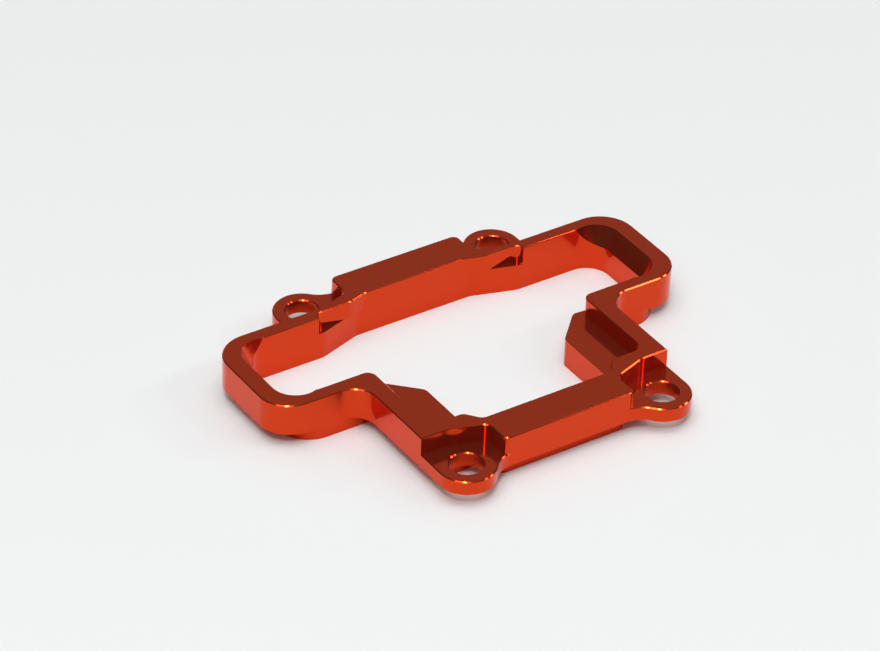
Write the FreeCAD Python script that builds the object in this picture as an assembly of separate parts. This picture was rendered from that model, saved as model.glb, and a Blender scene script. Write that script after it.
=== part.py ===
"""Milled aluminium mounting frame, one piece, in millimetres.

A T-shaped frame lies flat: a long slot across the back, a squarer window
between two arms in front of it, and four screw ears at the corners.
X runs along the long slot, +Y points to the thick back bar, +Z is up, and
the origin is the middle of the four-screw pattern on the resting plane.
"""
import FreeCAD, Part
import math
import os

Vector = FreeCAD.Vector

# --- heights -------------------------------------------------------------
TOP_Z = 4.9             # top face of the rails and arms
SEAT_Z = 3.0            # screw seats, tabs and the floors of the back notches
UNDER_Z = 1.5           # raised underside of ears, arms, front rail and wing ends
BREAK = 0.2             # chamfer that breaks the upper edges

# --- screw pattern -------------------------------------------------------
HOLE_X = 11.4           # half spacing across
HOLE_Y = 14.85          # half spacing front to back
HOLE_D = 3.4            # clearance hole for an M3 screw
EAR_R = 3.0             # round end of each screw ear
EAR_SWEEP_R = 3.0       # inside sweep from an ear into the bar beside it

# --- outside of the frame ------------------------------------------------
WALL = 1.5              # thin wall all round the long slot
WING_X = 24.05          # half length over the wings
WING_BACK_R = 3.7       # outer corner at the back of a wing
WING_FRONT_R = 3.3      # outer corner at the front of a wing
BAR_BACK_Y = 15.95      # outside of the thick bar between the back ears
RAIL_FRONT_Y = -15.65   # outside of the front rail
RAIL_DEPTH = 4.05       # front rail, front to back
ARM_IN_X = 12.45        # inner face of an arm, the outer face is at the ear side
ARM_SWEEP_R = 2.5       # inside sweep from a wing into an arm
EAR_FOOT_R = 1.0        # inside corner where a back ear meets the wing rail

# --- long slot -----------------------------------------------------------
SLOT_X = 21.15          # half length of the slot
SLOT_FRONT_Y = 0.45     # front wall of the slot, inner face
SLOT_BACK_Y = 10.4      # back wall of the slot, inner face
SLOT_R = 2.5            # corners of the slot
BAY_Y = 11.9            # back wall of the shallow bay between the notches
BAY_X = 6.8             # half length of the bay at its back wall
BAY_MOUTH_X = 11.6      # half length of the bay where it opens into the slot
BAY_R = 2.2             # soft bends of the bay's slanted sides

# --- half-depth notches behind the slot ------------------------------------
NOTCH_Y = 11.3          # back wall of a notch
NOTCH_IN_X = 7.9        # where the notch wall starts to lean into the bay
NOTCH_LEAN_X = 6.0      # where that lean reaches the bay's back wall
NOTCH_OUT_X = 12.2      # outer side of a notch
NOTCH_R = 0.9           # cutter radius left in the notch corner

# --- leaning reliefs in the ends of the slot --------------------------------
RELIEF_OUT = 1.15       # how far a relief reaches past the slot end at the top
RELIEF_OVER = 0.25      # how far it reaches past the slot sides at the top
RELIEF_R = 2.6          # its corner radius at the top
RELIEF_FOOT_R = 1.95    # its corner radius where it runs out
RELIEF_FOOT_Z = 2.4     # height at which it runs out in the end wall

# --- window between the arms -----------------------------------------------
TAB_X = 8.2             # inner edge of a tab
TAB_CUT = 3.25          # 45 degree corner cut off a tab
TAB_R = 1.0             # rounding of the tab corners
SHOULDER_R = 1.0        # rounding where the slot turns into an arm
BOSS_Y = -10.0          # back of the wall behind a front screw pocket
BOSS_X = 8.75           # inner end of that wall
BOSS_FOOT_X = 7.45      # where that wall meets the front rail
BOSS_R = 0.9            # bends of that wall
WINDOW_R = 1.2          # cutter radius between an arm and that wall

# --- screw-head pockets above the seats ------------------------------------
POCKET_X = 7.55         # inner side of every pocket
POCKET_R = 1.0          # cutter radius in the pocket corner
POCKET_LIP_R = 0.7      # rounded corner between a pocket and the bar face
POCKET_FRONT_Y = -11.47 # back wall of a front pocket at the arm
POCKET_BEND_X = 11.3    # where that wall starts to lean
POCKET_SWEEP_R = 3.0    # soft bend of that wall
POCKET_LEAN = 0.33      # lean of the wall, depth per unit of length
POCKET_BACK_X = 10.9    # where a back pocket runs out against the wing rail

# --- locating lip under the frame -------------------------------------------
LIP_STEP = 0.95         # how far the lip stands back from the front and back bars
LIP_X = 21.85           # half length of the lip under the wings
LIP_R = 3.5             # outer corner of the lip at the wing ends
LIP_FOOT_Y = -12.3      # front of the lip beside a front screw

ARM_OUT_X = HOLE_X + EAR_R
BACK_Y = SLOT_BACK_Y + WALL
FRONT_Y = SLOT_FRONT_Y - WALL
RAIL_BACK_Y = RAIL_FRONT_Y + RAIL_DEPTH
TINY = 1e-5             # lengths below this count as nothing


def turn(before, corner, after, radius):
    """Return the arc's start, middle and end that round one corner."""
    back = (before - corner).normalize()
    ahead = (after - corner).normalize()
    half = back.getAngle(ahead) / 2
    run = radius / math.tan(half)
    axis = (back + ahead).normalize()
    centre = corner + axis * (radius / math.sin(half))
    return corner + back * run, centre - axis * radius, corner + ahead * run


def rounded_face(points, z):
    """Return a flat face at height z from (x, y, corner radius) points."""
    corners = [Vector(x, y, z) for x, y, _ in points]
    radii = [radius for _, _, radius in points]
    count = len(corners)
    edges = []
    starts = []
    ends = []
    for i, corner in enumerate(corners):
        if radii[i] > 0:
            arc = turn(corners[i - 1], corner, corners[(i + 1) % count], radii[i])
            edges.append(Part.Arc(*arc).toShape())
            starts.append(arc[0])
            ends.append(arc[2])
        else:
            starts.append(corner)
            ends.append(corner)
    for i in range(count):
        here = ends[i]
        there = starts[(i + 1) % count]
        if here.distanceToPoint(there) > TINY:
            edges.append(Part.makeLine(here, there))
    return Part.Face(Part.Wire(Part.__sortEdges__(edges)))


def both_sides(half):
    """Return the closed outline for a right half listed from back to front."""
    left = [(-x, y, radius) for x, y, radius in reversed(half) if x > 0]
    return half + left


def raised(face, bottom, top):
    """Return a face lifted to one height and extruded to another."""
    lifted = face.translated(Vector(0, 0, bottom - face.BoundBox.ZMin))
    return lifted.extrude(Vector(0, 0, top - bottom))


def slab(points, bottom, top):
    """Return the outline extruded from one height to another."""
    return raised(rounded_face(points, 0), bottom, top)


def wall_outline():
    """Return the outside of the full-height walls, clear of the screw heads."""
    return both_sides([
        (0, BAR_BACK_Y, 0),
        (POCKET_X, BAR_BACK_Y, POCKET_LIP_R),
        (POCKET_X, back_pocket_y(POCKET_X), POCKET_R),
        (POCKET_BACK_X, BACK_Y, POCKET_SWEEP_R),
        (WING_X, BACK_Y, WING_BACK_R),
        (WING_X, FRONT_Y, WING_FRONT_R),
        (ARM_OUT_X, FRONT_Y, ARM_SWEEP_R),
        (ARM_OUT_X, POCKET_FRONT_Y, 0),
        (POCKET_BEND_X, POCKET_FRONT_Y, POCKET_SWEEP_R),
        (POCKET_X, front_pocket_y(POCKET_X), POCKET_R),
        (POCKET_X, RAIL_FRONT_Y, POCKET_LIP_R),
        (0, RAIL_FRONT_Y, 0),
    ])


def ear_face(bar_y, root_y):
    """Return a right ear with half of the bar it sweeps into, bar_y far out."""
    hole = Vector(HOLE_X, HOLE_Y, 0)
    rise = bar_y + EAR_SWEEP_R - HOLE_Y
    reach = math.sqrt((EAR_R + EAR_SWEEP_R) ** 2 - rise ** 2)
    sweep = hole + Vector(-reach, rise, 0)
    lean = Vector(-reach, rise, 0).normalize()
    touch = hole + lean * EAR_R
    start = sweep - Vector(0, EAR_SWEEP_R, 0)
    side = hole + Vector(EAR_R, 0, 0)
    sweep_mid = sweep - (lean + Vector(0, 1, 0)).normalize() * EAR_SWEEP_R
    ear_mid = hole + (lean + Vector(1, 0, 0)).normalize() * EAR_R
    root = Vector(side.x, root_y, 0)
    middle = Vector(0, root_y, 0)
    face_middle = Vector(0, bar_y, 0)
    edges = [
        Part.Arc(start, sweep_mid, touch).toShape(),
        Part.Arc(touch, ear_mid, side).toShape(),
        Part.makeLine(side, root),
        Part.makeLine(root, middle),
        Part.makeLine(middle, face_middle),
        Part.makeLine(face_middle, start),
    ]
    return Part.Face(Part.Wire(edges))


def ear_foot():
    """Return the small web that rounds a back ear's side into the wing rail."""
    heel = Vector(ARM_OUT_X, BACK_Y, 0)
    centre = heel + Vector(EAR_FOOT_R, EAR_FOOT_R, 0)
    middle = centre - Vector(1, 1, 0).normalize() * EAR_FOOT_R
    along = heel + Vector(EAR_FOOT_R, 0, 0)
    up = heel + Vector(0, EAR_FOOT_R, 0)
    edges = [
        Part.makeLine(heel, along),
        Part.Arc(along, middle, up).toShape(),
        Part.makeLine(up, heel),
    ]
    return Part.Face(Part.Wire(edges))


def flange():
    """Return the flange, which is the foot of the walls with the four ears."""
    front = ear_face(-RAIL_FRONT_Y, -BOSS_Y).mirror(Vector(0, 0, 0), Vector(0, 1, 0))
    right = [ear_face(BAR_BACK_Y, SLOT_BACK_Y), ear_foot(), front]
    left = [face.mirror(Vector(0, 0, 0), Vector(1, 0, 0)) for face in right]
    ears = [raised(face, UNDER_Z, SEAT_Z) for face in right + left]
    return slab(wall_outline(), UNDER_Z, SEAT_Z).fuse(ears).removeSplitter()


def upper_opening():
    """Return the opening above the seats: notches, slot and window."""
    return both_sides([
        (0, BAY_Y, 0),
        (NOTCH_LEAN_X, BAY_Y, BAY_R),
        (NOTCH_IN_X, NOTCH_Y, BAY_R),
        (NOTCH_OUT_X, NOTCH_Y, NOTCH_R),
        (NOTCH_OUT_X, SLOT_BACK_Y, 0),
        (SLOT_X, SLOT_BACK_Y, SLOT_R),
        (SLOT_X, SLOT_FRONT_Y, SLOT_R),
        (ARM_IN_X, SLOT_FRONT_Y, SHOULDER_R),
        (ARM_IN_X, BOSS_Y, WINDOW_R),
        (BOSS_X, BOSS_Y, BOSS_R),
        (BOSS_FOOT_X, RAIL_BACK_Y, BOSS_R),
        (0, RAIL_BACK_Y, 0),
    ])


def lower_opening():
    """Return the opening below the seats, narrowed by the two tabs."""
    return both_sides([
        (0, BAY_Y, 0),
        (BAY_X, BAY_Y, BAY_R),
        (BAY_MOUTH_X, SLOT_BACK_Y, BAY_R),
        (SLOT_X, SLOT_BACK_Y, SLOT_R),
        (SLOT_X, SLOT_FRONT_Y, SLOT_R),
        (TAB_X + TAB_CUT, SLOT_FRONT_Y, TAB_R),
        (TAB_X, SLOT_FRONT_Y - TAB_CUT, TAB_R),
        (TAB_X, RAIL_BACK_Y, TAB_R),
        (0, RAIL_BACK_Y, 0),
    ])


def lip_outline():
    """Return the outside of the lip that stands on the resting plane."""
    return both_sides([
        (0, BAR_BACK_Y - LIP_STEP, 0),
        (POCKET_X, BAR_BACK_Y - LIP_STEP, POCKET_R),
        (POCKET_X, back_pocket_y(POCKET_X), POCKET_R),
        (POCKET_BACK_X, BACK_Y, POCKET_SWEEP_R),
        (LIP_X, BACK_Y, LIP_R),
        (LIP_X, FRONT_Y, LIP_R),
        (ARM_IN_X, FRONT_Y, SHOULDER_R),
        (ARM_IN_X, LIP_FOOT_Y, WINDOW_R),
        (POCKET_X, LIP_FOOT_Y, POCKET_R),
        (POCKET_X, RAIL_FRONT_Y + LIP_STEP, POCKET_R),
        (0, RAIL_FRONT_Y + LIP_STEP, 0),
    ])


def back_pocket_y(x):
    """Return where the leaning wall of a back pocket stands at one x."""
    return BACK_Y + POCKET_LEAN * (POCKET_BACK_X - x)


def front_pocket_y(x):
    """Return where the leaning wall of a front pocket stands at one x."""
    return POCKET_FRONT_Y - POCKET_LEAN * (POCKET_BEND_X - x)


def level_edges(shape, z):
    """Return the edges that lie flat at height z."""
    chosen = []
    for edge in shape.Edges:
        box = edge.BoundBox
        if abs(box.ZMin - z) < TINY and box.ZLength < TINY:
            chosen.append(edge)
    return chosen


def broken(shape, top):
    """Return a straight-walled shape with the edge of its top chamfered."""
    return shape.makeChamfer(BREAK, level_edges(shape, top))


def flare(face, z):
    """Return a cutter that chamfers the rim of an opening at height z."""
    shape = raised(face.makeOffset2D(BREAK, 2), z - BREAK, z + BREAK)
    return shape.makeChamfer(BREAK, level_edges(shape, z - BREAK))


def walls():
    """Return the flange, the full-height walls and the lip, not yet opened."""
    wall = broken(slab(wall_outline(), UNDER_Z, TOP_Z), TOP_Z)
    lip = slab(lip_outline(), 0, UNDER_Z)
    return wall.fuse([broken(flange(), SEAT_Z), lip]).removeSplitter()


def opening():
    """Return the cutters of the stepped T-shaped opening."""
    upper = slab(upper_opening(), SEAT_Z - BREAK, TOP_Z)
    lower = slab(lower_opening(), 0, SEAT_Z)
    ledge = flare(rounded_face(lower_opening(), 0), SEAT_Z).common(upper)
    rim = flare(rounded_face(upper_opening(), 0), TOP_Z)
    return [lower, slab(upper_opening(), SEAT_Z, TOP_Z), ledge, rim]


def relief_face(out, radius, over, z):
    """Return the relief's outline at height z as a face."""
    outer = SLOT_X + out
    inner = outer - 2 * radius
    back = SLOT_BACK_Y + over
    front = SLOT_FRONT_Y - over
    corners = [(inner, back), (outer, back), (outer, front), (inner, front)]
    return rounded_face([(x, y, radius) for x, y in corners], z)


def end_relief():
    """Return the cutters that lean the right end wall of the slot outwards."""
    shrink = RELIEF_R - RELIEF_FOOT_R
    top = relief_face(RELIEF_OUT, RELIEF_R, RELIEF_OVER, TOP_Z)
    foot = relief_face(0, RELIEF_FOOT_R, RELIEF_OVER - shrink, RELIEF_FOOT_Z)
    lean = Part.makeLoft([foot.OuterWire, top.OuterWire], True, True)
    return [lean, flare(top, TOP_Z)]


def screw_hole(x, y):
    """Return the cutter for one clearance hole with its broken rim."""
    radius = HOLE_D / 2
    hole = Part.makeCylinder(radius, TOP_Z, Vector(x, y, 0))
    rim = Part.makeCone(radius, radius + 2 * BREAK, 2 * BREAK, Vector(x, y, SEAT_Z - BREAK))
    return hole.fuse(rim)


def mount_frame():
    """Return the finished frame."""
    frame = walls()
    cutters = opening()
    for cutter in end_relief() + [screw_hole(HOLE_X, HOLE_Y), screw_hole(HOLE_X, -HOLE_Y)]:
        cutters += [cutter, cutter.mirror(Vector(0, 0, 0), Vector(1, 0, 0))]
    for cutter in cutters:
        frame = frame.cut(cutter)
    return frame.removeSplitter()


def main():
    os.makedirs("parts", exist_ok=True)
    shape = mount_frame()
    print("solids", len(shape.Solids), "valid", shape.isValid(), "volume", round(shape.Volume, 1))
    shape.exportStep("parts/mount_frame.step")


main()
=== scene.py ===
"""Studio scene of a small milled mounting frame in red-orange anodised aluminium.

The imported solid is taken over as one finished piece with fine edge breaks, gets
its anodised finish, and lies on a pale floor under soft lamps.
Lengths are metres, and sizes that end in _mm are millimetres, turned by MM.
"""
import logging
import math
from dataclasses import dataclass, field
from enum import Enum

import bpy
from mathutils import Matrix, Quaternion, Vector
from mathutils.kdtree import KDTree


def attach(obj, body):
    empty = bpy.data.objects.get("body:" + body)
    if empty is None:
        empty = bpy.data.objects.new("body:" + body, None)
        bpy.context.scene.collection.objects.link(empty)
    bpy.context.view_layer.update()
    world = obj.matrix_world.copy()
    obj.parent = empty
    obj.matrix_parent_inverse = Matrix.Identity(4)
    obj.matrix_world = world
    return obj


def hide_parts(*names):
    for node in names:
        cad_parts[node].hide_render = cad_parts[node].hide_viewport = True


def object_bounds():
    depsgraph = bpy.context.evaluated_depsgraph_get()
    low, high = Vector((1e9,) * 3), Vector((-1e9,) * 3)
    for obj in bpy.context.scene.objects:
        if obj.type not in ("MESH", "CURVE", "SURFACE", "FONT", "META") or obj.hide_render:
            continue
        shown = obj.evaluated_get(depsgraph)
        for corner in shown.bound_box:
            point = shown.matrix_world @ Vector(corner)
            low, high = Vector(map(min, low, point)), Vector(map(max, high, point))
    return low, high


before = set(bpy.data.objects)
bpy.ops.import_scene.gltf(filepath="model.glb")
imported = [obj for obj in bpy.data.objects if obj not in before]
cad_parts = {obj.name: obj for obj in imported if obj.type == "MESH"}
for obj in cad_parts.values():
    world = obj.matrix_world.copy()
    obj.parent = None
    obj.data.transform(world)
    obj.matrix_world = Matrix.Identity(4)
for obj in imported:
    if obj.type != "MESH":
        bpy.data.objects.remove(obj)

MM = 0.001
CAD_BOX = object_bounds()

# The sRGB curve: a straight foot below the knee, and a power above it.
SRGB_KNEE = 0.04045
SRGB_SLOPE = 12.92
SRGB_OFFSET = 0.055
SRGB_POWER = 2.4

log = logging.getLogger("mounting_frame")


def linear(hex_colour: str) -> tuple[float, float, float, float]:
    """Turn an sRGB hex colour into linear RGBA.

    Args:
        hex_colour: six hex digits with a leading hash.

    Returns:
        The linear red, green and blue, and an alpha of one.
    """
    channels = []
    for start in (1, 3, 5):
        value = int(hex_colour[start:start + 2], 16) / 255
        low = value / SRGB_SLOPE
        high = ((value + SRGB_OFFSET) / (1 + SRGB_OFFSET)) ** SRGB_POWER
        channels.append(low if value <= SRGB_KNEE else high)
    return (channels[0], channels[1], channels[2], 1.0)


def add_node(
    tree: bpy.types.NodeTree,
    kind: str,
    inputs: dict | None = None,
    **settings: object,
) -> bpy.types.Node:
    """Add one node with its settings, values and links.

    Args:
        tree: node tree that receives the node.
        kind: Blender's type name of the node.
        inputs: sockets by name or number, each given a value or an output to link.
        settings: properties of the node by name.

    Returns:
        The new node.
    """
    node = tree.nodes.new(kind)
    for name, value in settings.items():
        setattr(node, name, value)
    for key, value in (inputs or {}).items():
        socket = node.inputs[key]
        if isinstance(value, bpy.types.NodeSocket):
            tree.links.new(value, socket)
        else:
            socket.default_value = value
    return node


def new_material(name: str) -> bpy.types.Material:
    """Make an empty node material.

    Args:
        name: name of the material.

    Returns:
        The material, with no nodes in it.
    """
    material = bpy.data.materials.new(name)
    material.use_nodes = True
    material.node_tree.nodes.clear()
    return material


def direction(azimuth: float, elevation: float) -> Vector:
    """Return the unit vector towards a bearing.

    Args:
        azimuth: degrees from +Y, turning towards +X.
        elevation: degrees above the floor.

    Returns:
        The unit vector.
    """
    turn = math.radians(azimuth)
    rise = math.radians(elevation)
    level = math.cos(rise)
    return Vector((math.sin(turn) * level, math.cos(turn) * level, math.sin(rise)))


class LampShape(Enum):
    """Outline of a soft lamp."""

    ROUND = "ELLIPSE"
    OBLONG = "RECTANGLE"


@dataclass(frozen=True)
class AnodisedAluminium:
    """Bright-dip anodised aluminium, milled, polished and dyed red-orange."""

    name: str = "anodised_aluminium_red_orange"
    tint: str = "#D93E16"
    metallic: float = 0.96
    roughness: float = 0.12
    haze: str = "#19160D"
    seal_weight: float = 0.02
    seal_roughness: float = 0.04
    seal_ior: float = 1.6
    ripple_mm: float = 2.4
    ripple_height_mm: float = 0.0011
    grain_mm: float = 0.16
    grain_height_mm: float = 0.0004
    relief_detail: float = 2.0

    def relief(
        self,
        tree: bpy.types.NodeTree,
        size_mm: float,
        height_mm: float,
        below: bpy.types.NodeSocket | None = None,
    ) -> bpy.types.NodeSocket:
        """Add one layer of fine surface relief.

        Args:
            tree: node tree of the material.
            size_mm: width of one bump.
            height_mm: height of the bumps.
            below: normal output of the layer below, if there is one.

        Returns:
            The normal output of the layer.
        """
        place = add_node(tree, "ShaderNodeTexCoord")
        noise = add_node(tree, "ShaderNodeTexNoise", {
            "Vector": place.outputs["Object"],
            "Scale": 1 / (size_mm * MM),
            "Detail": self.relief_detail,
        })
        sockets = {"Height": noise.outputs["Fac"], "Distance": height_mm * MM, "Strength": 1.0}
        if below is not None:
            sockets["Normal"] = below
        return add_node(tree, "ShaderNodeBump", sockets).outputs["Normal"]

    def material(self) -> bpy.types.Material:
        """Make the finish.

        Returns:
            The finish as a material.
        """
        material = new_material(self.name)
        tree = material.node_tree
        # Dyed oxide over bright metal gives deep, clean mirror colours.
        # Polishing leaves a gentle ripple that bends long reflections slightly.
        ripple = self.relief(tree, self.ripple_mm, self.ripple_height_mm)
        # The etch grain is about 0.02 mm; it is drawn coarser so that it shows.
        grain = self.relief(tree, self.grain_mm, self.grain_height_mm, ripple)
        # The clear seal over the dye is thin, and adds only a trace of neutral gloss.
        shader = add_node(tree, "ShaderNodeBsdfPrincipled", {
            "Base Color": linear(self.tint),
            "Metallic": self.metallic,
            "Roughness": self.roughness,
            "Coat Weight": self.seal_weight,
            "Coat Roughness": self.seal_roughness,
            "Coat IOR": self.seal_ior,
            "Normal": grain,
        })
        # The oxide scatters a little light, which keeps the darkest reflections brown.
        haze = add_node(tree, "ShaderNodeBsdfDiffuse", {"Color": linear(self.haze)})
        whole = add_node(tree, "ShaderNodeAddShader", {
            0: shader.outputs["BSDF"],
            1: haze.outputs["BSDF"],
        })
        add_node(tree, "ShaderNodeOutputMaterial", {"Surface": whole.outputs["Shader"]})
        return material


@dataclass(frozen=True)
class MattCard:
    """Matt white card, a plain pale surface with no gloss."""

    name: str = "matt_white_card"
    colour: str = "#F1F3F3"
    roughness: float = 0.9
    specular: float = 0.2

    def material(self) -> bpy.types.Material:
        """Make the card.

        Returns:
            The card as a material.
        """
        material = new_material(self.name)
        tree = material.node_tree
        # Uncoated card spreads the light evenly and shows the shadow without a shine.
        shader = add_node(tree, "ShaderNodeBsdfPrincipled", {
            "Base Color": linear(self.colour),
            "Roughness": self.roughness,
            "Specular IOR Level": self.specular,
        })
        add_node(tree, "ShaderNodeOutputMaterial", {"Surface": shader.outputs["BSDF"]})
        return material


@dataclass
class MilledFrame:
    """The one-piece frame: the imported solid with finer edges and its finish."""

    node: str = "mount_frame"
    piece: str = "milled_frame"
    slot: str = "anodised_red"
    # Heights of the top face and of the seats, and the breaks on their edges.
    top_mm: float = 4.9
    seat_mm: float = 3.0
    break_mm: float = 0.2
    fine_break_mm: float = 0.1
    break_reach_mm: float = 0.42
    # Reach of the ledges inside the opening, whose edges are square.
    ledge_x_mm: float = 12.4
    ledge_front_y_mm: float = -11.8
    ledge_back_y_mm: float = 12.0
    # Reach of the leaning reliefs in the ends of the slot.
    relief_x_mm: float = 18.6
    relief_end_x_mm: float = 22.6
    relief_front_y_mm: float = -0.3
    relief_back_y_mm: float = 11.1
    foot_mm: float = 2.4
    raised_foot_mm: float = 2.85
    # Joining of the loose facets, and the bends that stay crisp.
    weld_mm: float = 0.001
    crease_deg: float = 32.0
    foot_crease_deg: float = 13.0
    foot_tilt: float = 0.2
    foot_tilt_reach: float = 0.11
    flat_deg: float = 0.2
    broad_weight: int = 80
    finish: AnodisedAluminium = field(default_factory=AnodisedAluminium)

    def tree_sizes(self) -> dict[str, float]:
        """Give the deburring tree's inputs their sizes.

        Returns:
            The size of each input by its name.
        """
        return {
            "Weld Distance": self.weld_mm * MM,
            "Crease Angle": math.radians(self.crease_deg),
            "Foot Crease Angle": math.radians(self.foot_crease_deg),
            "Foot Tilt": self.foot_tilt,
            "Foot Tilt Reach": self.foot_tilt_reach,
        }

    def deburr_tree(self, material: bpy.types.Material) -> bpy.types.NodeTree:
        """Build the tree that joins loose facets and marks which edges stay crisp.

        Arcs are shaded smooth. Edges that turn further than the facets of an arc
        stay crisp, and so do the feet of the leaning reliefs.

        Args:
            material: finish that the tree sets.

        Returns:
            The geometry node tree.
        """
        tree = bpy.data.node_groups.new("deburr", "GeometryNodeTree")
        ports = tree.interface
        ports.new_socket("Geometry", in_out="INPUT", socket_type="NodeSocketGeometry")
        for name in self.tree_sizes():
            ports.new_socket(name, in_out="INPUT", socket_type="NodeSocketFloat")
        ports.new_socket("Geometry", in_out="OUTPUT", socket_type="NodeSocketGeometry")
        given = add_node(tree, "NodeGroupInput")
        welded = add_node(tree, "GeometryNodeMergeByDistance", {
            "Geometry": given.outputs["Geometry"],
            "Distance": given.outputs["Weld Distance"],
        })
        bend = add_node(tree, "GeometryNodeInputMeshEdgeAngle")
        crisp = add_node(tree, "FunctionNodeCompare", {
            "A": bend.outputs["Unsigned Angle"],
            "B": given.outputs["Crease Angle"],
        }, data_type="FLOAT", operation="GREATER_THAN")
        # The foot of a relief turns less than that, and is told by the mean tilt beside it.
        facing = add_node(tree, "GeometryNodeInputNormal")
        axes = add_node(tree, "ShaderNodeSeparateXYZ", {"Vector": facing.outputs["Normal"]})
        tilt = add_node(tree, "GeometryNodeFieldOnDomain", {
            "Value": axes.outputs["Z"],
        }, domain="FACE", data_type="FLOAT")
        between = add_node(tree, "FunctionNodeCompare", {
            "A": tilt.outputs["Value"],
            "B": given.outputs["Foot Tilt"],
            "Epsilon": given.outputs["Foot Tilt Reach"],
        }, data_type="FLOAT", operation="EQUAL")
        turned = add_node(tree, "FunctionNodeCompare", {
            "A": bend.outputs["Unsigned Angle"],
            "B": given.outputs["Foot Crease Angle"],
        }, data_type="FLOAT", operation="GREATER_THAN")
        foot = add_node(tree, "FunctionNodeBooleanMath", {
            0: between.outputs["Result"],
            1: turned.outputs["Result"],
        }, operation="AND")
        kept = add_node(tree, "FunctionNodeBooleanMath", {
            0: crisp.outputs["Result"],
            1: foot.outputs["Boolean"],
        }, operation="OR")
        smooth = add_node(tree, "GeometryNodeSetShadeSmooth", {
            "Geometry": welded.outputs["Geometry"],
            "Shade Smooth": True,
        }, domain="FACE")
        creased = add_node(tree, "GeometryNodeSetShadeSmooth", {
            "Geometry": smooth.outputs["Geometry"],
            "Selection": kept.outputs["Boolean"],
            "Shade Smooth": False,
        }, domain="EDGE")
        real = add_node(tree, "GeometryNodeRealizeInstances", {
            "Geometry": creased.outputs["Geometry"],
        })
        dressed = add_node(tree, "GeometryNodeSetMaterial", {
            "Geometry": real.outputs["Geometry"],
            "Material": material,
        })
        add_node(tree, "NodeGroupOutput", {"Geometry": dressed.outputs["Geometry"]})
        return tree

    def squared(self, corner: Vector) -> Vector:
        """Lift the foot of a ledge's break to the seats, which leaves a square edge.

        Args:
            corner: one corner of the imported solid.

        Returns:
            The corner, lifted where it belongs to a ledge inside the opening.
        """
        foot = (self.seat_mm - self.break_mm) * MM
        inside = abs(corner.x) < self.ledge_x_mm * MM
        between = self.ledge_front_y_mm * MM < corner.y < self.ledge_back_y_mm * MM
        if inside and between and abs(corner.z - foot) < self.weld_mm * MM:
            return Vector((corner.x, corner.y, self.seat_mm * MM))
        return corner.copy()

    def shallower(self, corner: Vector) -> Vector:
        """Raise the foot of a leaning relief and bring its rim up to the top face.

        The relief then leans a little more and ends in a crisp edge without a break.

        Args:
            corner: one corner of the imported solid.

        Returns:
            The corner, raised where it belongs to the surface or the rim of a relief.
        """
        along = self.relief_x_mm < abs(corner.x) / MM < self.relief_end_x_mm
        within = self.relief_front_y_mm < corner.y / MM < self.relief_back_y_mm
        rim = self.top_mm - self.break_mm
        below = rim - corner.z / MM
        if not (along and within and -self.weld_mm < below < rim - self.foot_mm + self.weld_mm):
            return corner.copy()
        share = (self.top_mm - self.raised_foot_mm) / (rim - self.foot_mm)
        return Vector((corner.x, corner.y, (self.top_mm - below * share) * MM))

    def fine_breaks(self, corners: list[Vector], level_mm: float) -> list[Vector]:
        """Narrow the edge breaks that end in one level face.

        Each corner of a break moves part of the way to the foot below it, which
        keeps the break at its slope and the walls in their planes.

        Args:
            corners: corners of the piece.
            level_mm: height of the level face.

        Returns:
            The corners, moved where they belong to such a break.
        """
        bottom = level_mm - self.break_mm
        feet = [corner for corner in corners if abs(corner.z / MM - bottom) < self.weld_mm]
        plan = KDTree(len(feet))
        for number, foot in enumerate(feet):
            plan.insert(foot.xy.to_3d(), number)
        plan.balance()
        share = self.fine_break_mm / self.break_mm
        moved = []
        for corner in corners:
            place = corner.copy()
            height = corner.z / MM
            if bottom - self.weld_mm < height < level_mm + self.weld_mm:
                near, _, distance = plan.find(corner.xy.to_3d())
                if distance < self.break_reach_mm * MM:
                    place.xy = near.xy.lerp(corner.xy, share)
                    place.z = (level_mm - (level_mm - height) * share) * MM
            moved.append(place)
        return moved

    def facets(self) -> bpy.types.Mesh:
        """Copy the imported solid's facets, with its ledges, reliefs and breaks changed.

        Returns:
            The mesh, of loose facets.
        """
        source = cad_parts[self.node].data
        mesh = bpy.data.meshes.new(self.piece)
        corners = [self.shallower(self.squared(vertex.co)) for vertex in source.vertices]
        for level_mm in (self.top_mm, self.seat_mm):
            corners = self.fine_breaks(corners, level_mm)
        faces = [tuple(face.vertices) for face in source.polygons]
        mesh.from_pydata(corners, [], faces)
        return mesh

    def build(self) -> bpy.types.Object:
        """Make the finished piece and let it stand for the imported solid.

        Returns:
            The piece, a plain mesh at the origin.
        """
        material = self.finish.material()
        rough = bpy.data.objects.new(self.piece + "_rough", self.facets())
        bpy.context.scene.collection.objects.link(rough)
        tree = self.deburr_tree(material)
        deburr = rough.modifiers.new("deburr", "NODES")
        deburr.node_group = tree
        sizes = self.tree_sizes()
        for item in tree.interface.items_tree:
            if item.in_out == "INPUT" and item.name in sizes:
                deburr[item.identifier] = sizes[item.name]
        # Each flat face becomes one face, so that its area tells it from the arcs.
        joined = rough.modifiers.new("joined_flats", "DECIMATE")
        joined.decimate_type = "DISSOLVE"
        joined.angle_limit = math.radians(self.flat_deg)
        # Broad faces keep their own normal, so that only arcs and their breaks look round.
        level = rough.modifiers.new("level", "WEIGHTED_NORMAL")
        level.mode = "FACE_AREA"
        level.weight = self.broad_weight
        level.keep_sharp = True
        graph = bpy.context.evaluated_depsgraph_get()
        mesh = bpy.data.meshes.new_from_object(rough.evaluated_get(graph))
        mesh.name = self.piece
        bpy.data.objects.remove(rough)
        piece = bpy.data.objects.new(self.piece, mesh)
        bpy.context.scene.collection.objects.link(piece)
        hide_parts(self.node)
        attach(piece, "root")
        return piece


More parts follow.
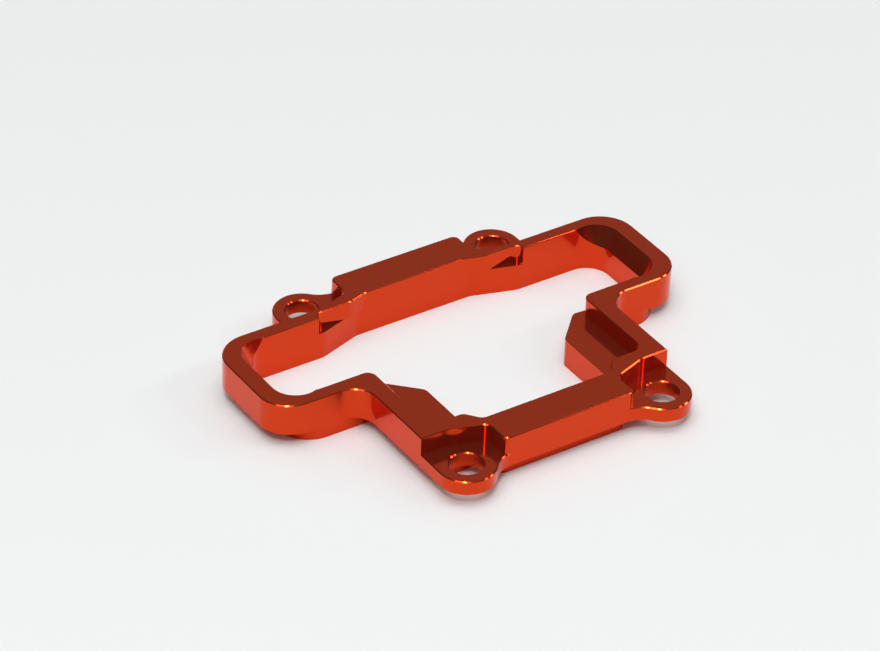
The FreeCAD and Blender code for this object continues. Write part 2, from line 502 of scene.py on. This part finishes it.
@dataclass
class PaleFloor:
    """The round floor on which the frame lies."""

    name: str = "pale_floor"
    radius: float = 2.5
    sides: int = 96
    finish: MattCard = field(default_factory=MattCard)

    def build(self, height: float) -> bpy.types.Object:
        """Make the floor.

        Args:
            height: height of the resting plane.

        Returns:
            The floor.
        """
        corners = []
        for i in range(self.sides):
            turn = math.tau * i / self.sides
            corners.append((self.radius * math.cos(turn), self.radius * math.sin(turn), height))
        mesh = bpy.data.meshes.new(self.name)
        mesh.from_pydata(corners, [], [tuple(range(self.sides))])
        mesh.materials.append(self.finish.material())
        floor = bpy.data.objects.new(self.name, mesh)
        bpy.context.scene.collection.objects.link(floor)
        return floor


@dataclass
class SoftLamp:
    """One soft lamp on a stand, facing the frame; its angles are degrees."""

    name: str
    azimuth: float
    elevation: float
    distance: float
    width: float
    height: float
    radiance: float
    shape: LampShape = LampShape.ROUND
    roll: float = 0.0

    def build(self, target: Vector) -> bpy.types.Object:
        """Place the lamp.

        Args:
            target: point that the lamp faces.

        Returns:
            The lamp.
        """
        light = bpy.data.lights.new(self.name, "AREA")
        light.shape = self.shape.value
        light.size = self.width
        light.size_y = self.height
        area = self.width * self.height
        if self.shape is LampShape.ROUND:
            area *= math.pi / 4
        light.energy = self.radiance * math.pi * area
        lamp = bpy.data.objects.new(self.name, light)
        away = direction(self.azimuth, self.elevation)
        lamp.location = target + away * self.distance
        tilt = Quaternion((0.0, 0.0, 1.0), math.radians(self.roll))
        lamp.rotation_euler = (away.to_track_quat("Z", "Y") @ tilt).to_euler()
        bpy.context.scene.collection.objects.link(lamp)
        return lamp


@dataclass
class DimRoom:
    """The room round the floor: dim, and paler towards one side and overhead."""

    name: str = "dim_room"
    # Strength of the dim part and of the pale side, which fades out from its bearing.
    shade: float = 0.08
    pale: float = 0.315
    pale_azimuth: float = 35.0
    pale_elevation: float = 45.0
    spread: float = 0.4
    # Strength added overhead, and the elevations between which it comes in.
    ceiling: float = 0.35
    ceiling_low: float = 37.0
    ceiling_high: float = 62.0

    def build(self) -> bpy.types.World:
        """Make the room the scene's world.

        Returns:
            The world.
        """
        world = bpy.data.worlds.new(self.name)
        world.use_nodes = True
        tree = world.node_tree
        tree.nodes.clear()
        place = add_node(tree, "ShaderNodeTexCoord")
        towards = direction(self.pale_azimuth, self.pale_elevation)
        facing = add_node(tree, "ShaderNodeVectorMath", {
            0: place.outputs["Generated"],
            1: towards,
        }, operation="DOT_PRODUCT")
        grey = add_node(tree, "ShaderNodeMapRange", {
            "Value": facing.outputs["Value"],
            "From Min": self.spread,
            "From Max": 1.0,
            "To Min": self.shade,
            "To Max": self.pale,
        }, interpolation_type="SMOOTHSTEP")
        axes = add_node(tree, "ShaderNodeSeparateXYZ", {"Vector": place.outputs["Generated"]})
        overhead = add_node(tree, "ShaderNodeMapRange", {
            "Value": axes.outputs["Z"],
            "From Min": math.sin(math.radians(self.ceiling_low)),
            "From Max": math.sin(math.radians(self.ceiling_high)),
            "To Max": self.ceiling,
        }, interpolation_type="SMOOTHSTEP")
        both = add_node(tree, "ShaderNodeMath", {
            0: grey.outputs["Result"],
            1: overhead.outputs["Result"],
        }, operation="ADD")
        glow = add_node(tree, "ShaderNodeBackground", {
            "Color": (1.0, 1.0, 1.0, 1.0),
            "Strength": both.outputs["Value"],
        })
        add_node(tree, "ShaderNodeOutputWorld", {"Surface": glow.outputs["Background"]})
        bpy.context.scene.world = world
        return world


@dataclass
class StillCamera:
    """A long-lens camera that looks down at one corner; its angles are degrees."""

    name: str = "still_camera"
    target_mm: tuple[float, float, float] = (0.654, 8.058, 0.88)
    azimuth: float = -34.443
    elevation: float = 34.941
    roll: float = 2.1415
    distance_mm: float = 424.56
    lens: float = 173.39
    sensor: float = 36.0
    nearest: float = 0.01
    furthest: float = 20.0

    def build(self) -> bpy.types.Object:
        """Place the camera and make it the scene's own.

        Returns:
            The camera.
        """
        data = bpy.data.cameras.new(self.name)
        data.lens = self.lens
        data.sensor_width = self.sensor
        data.clip_start = self.nearest
        data.clip_end = self.furthest
        camera = bpy.data.objects.new(self.name, data)
        back = direction(180.0 - self.azimuth, self.elevation)
        right = Vector((0.0, 0.0, 1.0)).cross(back).normalized()
        up = back.cross(right)
        turn = math.radians(self.roll)
        tilted_right = right * math.cos(turn) + up * math.sin(turn)
        tilted_up = up * math.cos(turn) - right * math.sin(turn)
        facing = Matrix((tilted_right, tilted_up, back)).transposed().to_4x4()
        place = (Vector(self.target_mm) + back * self.distance_mm) * MM
        camera.matrix_world = Matrix.Translation(place) @ facing
        bpy.context.scene.collection.objects.link(camera)
        bpy.context.scene.camera = camera
        return camera


@dataclass
class Studio:
    """Floor, lamps, room and camera round the frame."""

    floor: PaleFloor = field(default_factory=PaleFloor)
    room: DimRoom = field(default_factory=DimRoom)
    camera: StillCamera = field(default_factory=StillCamera)
    lamps: tuple[SoftLamp, ...] = (
        SoftLamp(
            "front_lamp", azimuth=-140.0, elevation=54.0, distance=0.9,
            width=0.14, height=0.12, radiance=34.0,
        ),
        SoftLamp(
            "front_glow", azimuth=-128.0, elevation=52.0, distance=0.95,
            width=0.60, height=0.22, radiance=2.4, shape=LampShape.OBLONG,
        ),
        SoftLamp(
            "strip_lamp", azimuth=-134.0, elevation=36.0, distance=0.9,
            width=0.12, height=0.20, radiance=5.0, shape=LampShape.OBLONG,
        ),
        SoftLamp(
            "low_side_lamp", azimuth=112.0, elevation=28.7, distance=0.9,
            width=0.15, height=0.06, radiance=17.0, shape=LampShape.OBLONG, roll=-31.0,
        ),
        SoftLamp(
            "high_side_lamp", azimuth=132.6, elevation=39.4, distance=0.9,
            width=0.12, height=0.06, radiance=18.0, shape=LampShape.OBLONG, roll=-31.0,
        ),
        SoftLamp(
            "ceiling_lamp", azimuth=-130.0, elevation=80.0, distance=1.1,
            width=0.9, height=0.9, radiance=2.12, shape=LampShape.OBLONG,
        ),
    )

    def build(self) -> None:
        """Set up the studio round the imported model."""
        lowest, highest = CAD_BOX
        middle = (lowest + highest) / 2
        self.floor.build(lowest.z)
        for lamp in self.lamps:
            lamp.build(middle)
        self.room.build()
        self.camera.build()
        bpy.context.scene.view_settings.view_transform = "Standard"


def main() -> None:
    """Build the piece and its studio in order, and report each piece."""
    logging.basicConfig(level=logging.INFO, format="%(name)s: %(message)s")
    Studio().build()
    piece = MilledFrame().build()
    log.info("%s: %d faces", piece.name, len(piece.data.polygons))


if __name__ == "__main__":
    main()
